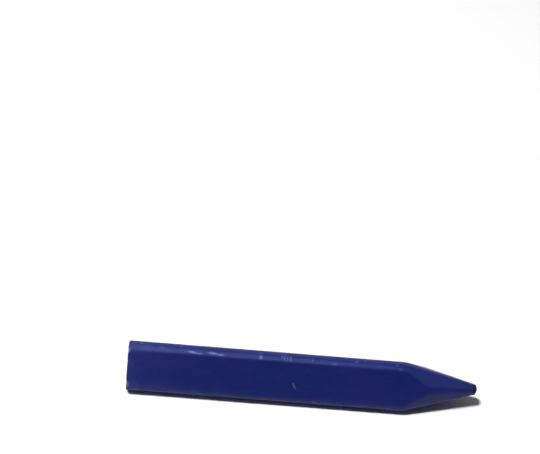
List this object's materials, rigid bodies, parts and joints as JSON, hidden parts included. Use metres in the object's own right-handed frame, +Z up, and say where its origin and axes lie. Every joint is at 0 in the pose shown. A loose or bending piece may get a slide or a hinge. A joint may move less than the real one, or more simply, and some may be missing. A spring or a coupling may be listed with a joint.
{
  "type": "wax crayon",
  "caption": "Triangular moulded wax crayon with flat sides, rounded ridges, a blunt conical drawing point with scalloped shoulders and a square base end; bare wax, no sleeve.",
  "frame": {"origin": "centre of the footprint: half way along the stick, on the surface that its lower flat side lies on", "axes": "+X along the stick towards the drawing point, +Z up from the side it lies on and through its upper ridge, +Y across the stick"},
  "size_m": [0.09, 0.013, 0.0119],
  "materials": {
    "blue_wax": "satin"
  },
  "bodies": {
    "root": {"wax_stick": "blue_wax"}
  },
  "joints": []
}
